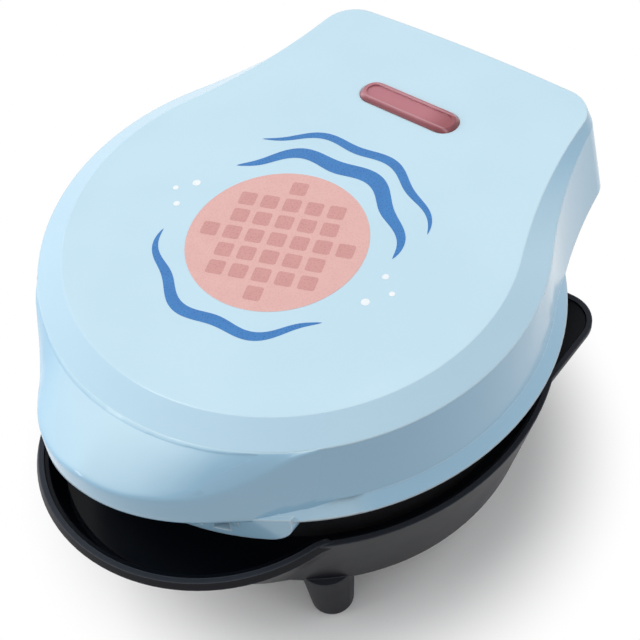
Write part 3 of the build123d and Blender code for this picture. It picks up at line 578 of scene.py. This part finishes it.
def lipProfile(angle):
    # reach and height of one column: the crown from under the bevel's edge, then the wall down to the cone
    look = lipShape
    reach = through(look["reach"], look["spacing"], angle)
    crease = through(look["crease"], look["spacing"], angle)
    low = max(0.0, coneRise(reach))
    tip = reach - look["draft"] * (crease - low)
    drop = max(look["edgeRise"] - crease, look["leastDrop"])
    run = tip - look["edgeRadius"]
    crown = [(look["edgeRadius"] - look["tuck"][0], look["edgeRise"] - look["tuck"][1])]
    for step in range(look["crownSteps"] + 1):
        share = step / look["crownSteps"]
        fall = drop * (look["slope"] * share + (1 - look["slope"]) * share ** 2)
        crown.append((look["edgeRadius"] + run * share, look["edgeRise"] - fall))
    return crown, [(tip, crease), (reach, low)]


def roundedProfile(angle):
    # the same column with its crease rounded and its foot turned in
    look = lipShape
    crown, wall = lipProfile(angle)
    shortest = min(math.dist(crown[0], crown[-1]), math.dist(*wall))
    radius = min(look["round"], look["roundLimit"] * shortest)
    corner, foot = Vector(wall[0]), Vector(wall[1])
    start = corner + (Vector(crown[-3]) - corner).normalized() * radius
    end = corner + (foot - corner).normalized() * radius
    profile = [Vector(point) for point in crown[:-1] if (Vector(point) - corner).length > radius]
    profile += [start.copy() for _ in range(len(crown) - 1 - len(profile))]
    for step in range(look["creaseSteps"] + 1):
        share = step / look["creaseSteps"]
        profile.append((1 - share) ** 2 * start + 2 * share * (1 - share) * corner + share ** 2 * end)
    profile += [end.lerp(foot, share) for share in look["wallShares"]]
    profile.append(foot - Vector((look["lap"], 0.0 if foot.y < look["lapLimit"] else look["lapDrop"])))
    inner = foot.x - look["hem"]
    profile.append(Vector((inner, max(look["hemGap"], coneRise(inner) - look["hemGap"]))))
    return profile


def makeLipCrown():
    look = lipShape
    limit = look["spacing"] * (len(look["reach"]) - 1)
    angles = [limit * (2 * column / look["columns"] - 1) for column in range(look["columns"] + 1)]
    profiles = [roundedProfile(angle) for angle in angles]
    rows = len(profiles[0]) - 1
    crown = bmesh.new()
    bmesh.ops.create_grid(crown, x_segments=look["columns"], y_segments=rows, size=0.5)
    for corner in crown.verts:
        column = round((corner.co.x + 0.5) * look["columns"])
        reach, rise = profiles[column][round((corner.co.y + 0.5) * rows)]
        turn = math.radians(angles[column])
        across, along = reach * math.sin(turn), look["axis"] - reach * math.cos(turn)
        corner.co = Vector((across, along, look["rim"] + rise)) / 1000
    bmesh.ops.remove_doubles(crown, verts=crown.verts, dist=0.000002)
    bmesh.ops.recalc_face_normals(crown, faces=crown.faces)
    for face in crown.faces:
        face.smooth = True
    return crown


# What the crown covers is drawn in, and the corners of two screw bosses come off the bevel. Millimetres.
shellShape = {
    "sink": 1.4,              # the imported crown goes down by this
    "sinkAngle": 50.0,
    "sinkLevels": (3.0, 20.6),
    "sinkLean": 0.22,         # only what faces up more than this
    "ribAngle": 40.0,
    "ribLevels": (-6.0, 3.5),
    "ribInset": 0.6,          # the guard's ribs stay this far inside the crown's wall
    "ribLeast": 65.2,
    "boss": (41.0, 50.05),
    "bossRadius": 3.6,
    "bossLevels": (81.7, 82.5),
}


def closeBossCorner(shell, side):
    # takes away the corner of a screw boss that looks out of the bevel and closes the hole flush
    look = shellShape
    across, along = side * look["boss"][0], look["boss"][1]
    low, high = look["bossLevels"]

    def onBoss(x, y, z):
        return abs(math.hypot(x - across, y - along) - look["bossRadius"]) < 0.02 and low < z < high
    corners = {corner for corner in shell.verts if onBoss(*(corner.co * 1000))}
    faces = [face for face in shell.faces if set(face.verts) <= corners]
    bmesh.ops.delete(shell, geom=faces, context="FACES")
    ring = {}
    for corner in corners:
        if corner.is_valid and abs(corner.co.x * 1000) > look["boss"][0] + 1:
            turn = math.atan2(corner.co.y * 1000 - along, corner.co.x * 1000 - across)
            ring[round(turn % (2 * math.pi), 3)] = corner.co.copy()
    places = [ring[turn] for turn in sorted(ring, key=lambda turn: (turn - math.pi / 2) % (2 * math.pi))]
    if len(places) > 2:
        patch = shell.faces.new([shell.verts.new(place) for place in places])
        patch.normal_update()
        if patch.normal.z < 0:
            patch.normal_flip()


def makeLidShell():
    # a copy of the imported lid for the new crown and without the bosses' corners
    look = shellShape
    shell = bmesh.new()
    shell.from_mesh(nodes["lid_housing"].data)
    for corner in shell.verts:
        x, y, z = corner.co * 1000 - Vector((0, lipShape["axis"], lipShape["rim"]))
        reach = math.hypot(x, y)
        angle = abs(math.degrees(math.atan2(x, -y)))
        low, high = look["sinkLevels"]
        outside = angle < look["sinkAngle"] and reach > lipShape["edgeRadius"] + lipShape["tuck"][0]
        if outside and low < z < high and corner.normal.z > look["sinkLean"]:
            corner.co -= corner.normal * look["sink"] / 1000
        low, high = look["ribLevels"]
        wall = through(lipShape["reach"], lipShape["spacing"], angle)
        inside = max(look["ribLeast"], wall - look["ribInset"])
        if angle < look["ribAngle"] and low < z < high and reach > inside:
            corner.co.x = x * inside / reach / 1000
            corner.co.y = (y * inside / reach + lipShape["axis"]) / 1000
    for side in (-1, 1):
        closeBossCorner(shell, side)
    return shell


shell = finishPiece("lid_shell", makeLidShell(), lidBlue)
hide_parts("lid_housing")
finishPiece("lid_lip_crown", makeLipCrown(), lidBlue)
print("hand lip made")


# Printed motif on the lid: a round waffle between wave bands
printLook = {
    "centre": (0.000, -0.003),
    "film": 0.00003,          # the ink stands this proud of the gloss
    "secondFilm": 0.00001,    # and the cells this proud of the disc
    "waffleRadius": 0.0215,
    "cells": 7,
    "cellsRadius": 0.9,       # of the waffle's radius
    "cellsTurn": 20,
    "cellSize": 0.37,         # half a cell's width, its corner and the room it needs, as shares of the pitch
    "cellRound": 0.11,
    "cellRoom": 0.62,
    "cellsSlack": 1.04,
    "discSides": 96,
    "dotSides": 24,
    "waveSteps": 72,
    "waveTaper": 0.6,
    "waves": (                # radius, start and end in degrees, width, ripple and its count
        (0.0275, 20, 150, 0.0042, 0.0011, 3),
        (0.0345, 35, 135, 0.0026, 0.0009, 3),
        (0.0275, 205, 330, 0.0030, 0.0010, 3),
    ),
    "dots": (                 # degrees, distance and radius
        (172, 0.0285, 0.0010),
        (180, 0.0315, 0.0007),
        (188, 0.0280, 0.0008),
        (352, 0.0285, 0.0010),
        (2, 0.0318, 0.0007),
        (9, 0.0280, 0.0008),
    ),
    "coral": (tone(226, 178, 172), tone(222, 170, 165)),
    "coralDeep": (tone(208, 150, 146), tone(200, 142, 138)),
    "blue": (tone(46, 122, 190), tone(40, 110, 178)),
    "white": (tone(244, 248, 250), tone(232, 240, 246)),
}


def makeInk(name, colour, second):
    finish = Finish(name, coatWeight=0.3, coatRoughness=0.06)
    cloud = finish.noise(0.003, 3.0)
    screen = finish.cells(0.0006)
    finish.give(baseColor=finish.mix(cloud.step(0.3, 0.7) * 0.5, colour, second))
    finish.give(roughness=0.24 + screen * 0.1, normal=finish.bump(screen, 0.000004, 0.4))
    return finish


def flatShape(sides, radius, x, y, z):
    shape = bmesh.new()
    bmesh.ops.create_circle(shape, cap_ends=True, segments=sides, radius=radius)
    bmesh.ops.translate(shape, vec=(x, y, z), verts=shape.verts)
    return shape


def join(target, part):
    data = bpy.data.meshes.new("part")
    part.to_mesh(data)
    part.free()
    target.from_mesh(data)
    bpy.data.meshes.remove(data)


inkLevel = max(corner.co.z for corner in nodes["lid_housing"].data.vertices) + printLook["film"]


def waffleCells():
    # rows of rounded pockets kept inside a ring
    look = printLook
    cx, cy = look["centre"]
    radius = look["waffleRadius"] * look["cellsRadius"]
    pitch = 2 * radius / look["cells"]
    turn = math.radians(look["cellsTurn"])
    offsets = [(step - (look["cells"] - 1) / 2) * pitch for step in range(look["cells"])]
    whole = bmesh.new()
    for v in offsets:
        for u in offsets:
            if math.hypot(u, v) + look["cellRoom"] * pitch > radius * look["cellsSlack"]:
                continue
            x = cx + u * math.cos(turn) - v * math.sin(turn)
            y = cy + u * math.sin(turn) + v * math.cos(turn)
            cell = bmesh.new()
            bmesh.ops.create_grid(cell, x_segments=1, y_segments=1, size=look["cellSize"] * pitch)
            bmesh.ops.bevel(cell, geom=cell.verts[:], offset=look["cellRound"] * pitch, segments=3,
                            profile=0.5, affect="VERTICES", material=-1)
            level = inkLevel + look["secondFilm"]
            place = Matrix.Translation((x, y, level)) @ Matrix.Rotation(turn, 4, "Z")
            bmesh.ops.transform(cell, verts=cell.verts, matrix=place)
            join(whole, cell)
    return whole


def wave(radius, start, end, width, ripple, count):
    # a band round the motif whose edge ripples, thin at both ends
    cx, cy = printLook["centre"]
    band = bmesh.new()
    bmesh.ops.create_grid(band, x_segments=printLook["waveSteps"], y_segments=1, size=0.5)
    for corner in band.verts:
        share = corner.co.x + 0.5
        angle = math.radians(start + (end - start) * share)
        taper = math.sin(math.pi * share) ** printLook["waveTaper"]
        swing = ripple * math.sin(2 * math.pi * count * share)
        reach = radius + swing + corner.co.y * width * taper
        corner.co = Vector((cx + reach * math.cos(angle), cy + reach * math.sin(angle), inkLevel))
    return band


def printMotif():
    cx, cy = printLook["centre"]
    waffle = flatShape(printLook["discSides"], printLook["waffleRadius"], cx, cy, inkLevel)
    finishPiece("print_waffle_disc", waffle, makeInk("printCoral", *printLook["coral"]))
    finishPiece("print_waffle_cells", waffleCells(), makeInk("printCoralDeep", *printLook["coralDeep"]))
    waves = bmesh.new()
    for band in printLook["waves"]:
        join(waves, wave(*band))
    finishPiece("print_waves", waves, makeInk("printBlue", *printLook["blue"]))
    dots = bmesh.new()
    for angle, reach, size in printLook["dots"]:
        turn = math.radians(angle)
        x, y = cx + reach * math.cos(turn), cy + reach * math.sin(turn)
        join(dots, flatShape(printLook["dotSides"], size, x, y, inkLevel))
    finishPiece("print_dots", dots, makeInk("printWhite", *printLook["white"]))


printMotif()
print("lid motif printed")


# Studio: floor, world, lamps and camera
studio = {
    "bounce": 0.42,           # how much the paper throws back up on the part
    "paperFrom": (0.055, 0.088),   # the paper turns plain white between these distances from the middle
    "paperSize": 6.0,
    "skyTint": (0.97, 0.985, 1.0, 1),
    "skyLow": 0.24,
    "skyHigh": 0.36,
    "skyBend": 1.5,           # how quickly the sky brightens towards the top
    "aim": (0.0, 0.0, 0.06),
    "suns": {                 # wide soft lamps that aren't mirrored: direction, strength and degrees across
        "skySun": ((-0.98, -0.25, 0.72), 1.85, 70.0),
        "rightSun": ((0.80, 0.66, 0.56), 0.95, 70.0),
    },
    "boxes": {                # reflected in the rounded edges: direction, size and strength
        "edgeBox": ((-0.44, 0.03, 0.89), 0.16, 0.8),
        "lipBox": ((-0.45, -0.84, 0.30), 0.20, 1.0),
    },
}

shot = {
    "elevation": 50.50,
    "turn": 44.23,
    "roll": -8.58,
    "distance": 0.32026,
    "slide": (0.003508, -0.007075),
    "pivot": (0.0, 0.00205, 0.0605),
    "lens": 73.125,
}


def makeFloor():
    sheet = bmesh.new()
    bmesh.ops.create_grid(sheet, x_segments=1, y_segments=1, size=studio["paperSize"])
    data = bpy.data.meshes.new("studioFloor")
    sheet.to_mesh(data)
    sheet.free()
    floor = bpy.data.objects.new("studioFloor", data)
    bpy.context.scene.collection.objects.link(floor)
    finish = Finish("studioPaper", roughness=0.9, specularIorLevel=0.0, emissionStrength=1.0)
    x, y, z = finish.axes()
    rays = finish.node("ShaderNodeLightPath", output="Is Diffuse Ray")
    far = (x * x + y * y).math("SQRT").step(*studio["paperFrom"])
    paper = finish.mix(far, (1, 1, 1, 1), (0, 0, 0, 1))
    glow = finish.mix(far * (1 - rays), (0, 0, 0, 1), (1, 1, 1, 1))
    bounce = shade((1, 1, 1), studio["bounce"])
    finish.give(baseColor=finish.mix(rays, paper, bounce), emissionColor=glow)
    finish.material.cycles.emission_sampling = "NONE"
    data.materials.append(finish.material)


def makeWorld():
    # white where the camera looks or mirrors it, and a sky that is brightest overhead as light
    world = bpy.data.worlds.new("studioWorld")
    bpy.context.scene.world = world
    world.use_nodes = True
    sky = Network(world.node_tree)
    backdrop = sky.tree.nodes["Background"]
    backdrop.inputs["Color"].default_value = (1, 1, 1, 1)
    height = sky.apart(sky.node("ShaderNodeTexCoord", output="Generated"))[2]
    lift = height.math("MAXIMUM", 0.0).math("POWER", studio["skyBend"])
    level = lift * studio["skyHigh"] + studio["skyLow"]
    light = sky.node("ShaderNodeBackground", None, {"Color": studio["skyTint"], "Strength": level})
    camera, transmission, glossy = (sky.node("ShaderNodeLightPath", output="Is " + ray + " Ray")
                                    for ray in ("Camera", "Transmission", "Glossy"))
    seen = camera.math("MAXIMUM", transmission).math("MAXIMUM", glossy)
    mixed = sky.node("ShaderNodeMixShader", None, {0: seen, 1: light, 2: Value(sky, backdrop.outputs[0])})
    sky.feed(sky.tree.nodes["World Output"].inputs["Surface"], mixed)


def addLamp(name, kind, at, aim, **settings):
    data = bpy.data.lights.new(name, kind)
    for key, value in settings.items():
        setattr(data, key, value)
    lamp = bpy.data.objects.new(name, data)
    lamp.location = at
    lamp.rotation_mode = "QUATERNION"
    lamp.rotation_quaternion = (Vector(aim) - Vector(at)).to_track_quat("-Z", "Y")
    lamp.visible_glossy = kind == "AREA"
    bpy.context.scene.collection.objects.link(lamp)


def placeCamera():
    lean = math.radians(shot["elevation"])
    roll = math.radians(shot["roll"])
    right = Vector((1, 0, 0))
    up = Vector((0, math.sin(lean), math.cos(lean)))
    back = Vector((0, -math.cos(lean), math.sin(lean)))
    across = right * math.cos(roll) + up * math.sin(roll)
    upward = up * math.cos(roll) - right * math.sin(roll)
    pose = Matrix((across, upward, back)).transposed().to_4x4()
    pose.translation = back * shot["distance"] + right * shot["slide"][0] + up * shot["slide"][1]
    data = bpy.data.cameras.new("shotCamera")
    data.lens = shot["lens"]
    data.sensor_width = 36.0
    data.clip_start = 0.01
    data.clip_end = 50.0
    camera = bpy.data.objects.new("shotCamera", data)
    turned = Matrix.Rotation(math.radians(shot["turn"]), 4, "Z") @ pose
    camera.matrix_world = Matrix.Translation(shot["pivot"]) @ turned
    bpy.context.scene.collection.objects.link(camera)
    bpy.context.scene.camera = camera


makeFloor()
makeWorld()
for name, (way, strength, across) in studio["suns"].items():
    addLamp(name, "SUN", way, (0, 0, 0), energy=strength, angle=math.radians(across))
for name, (way, size, strength) in studio["boxes"].items():
    aim = Vector(studio["aim"])
    addLamp(name, "AREA", Vector(way).normalized() + aim, aim, energy=strength, size=size)
placeCamera()
bpy.context.scene.view_settings.view_transform = "Standard"
print("studio set and camera placed")
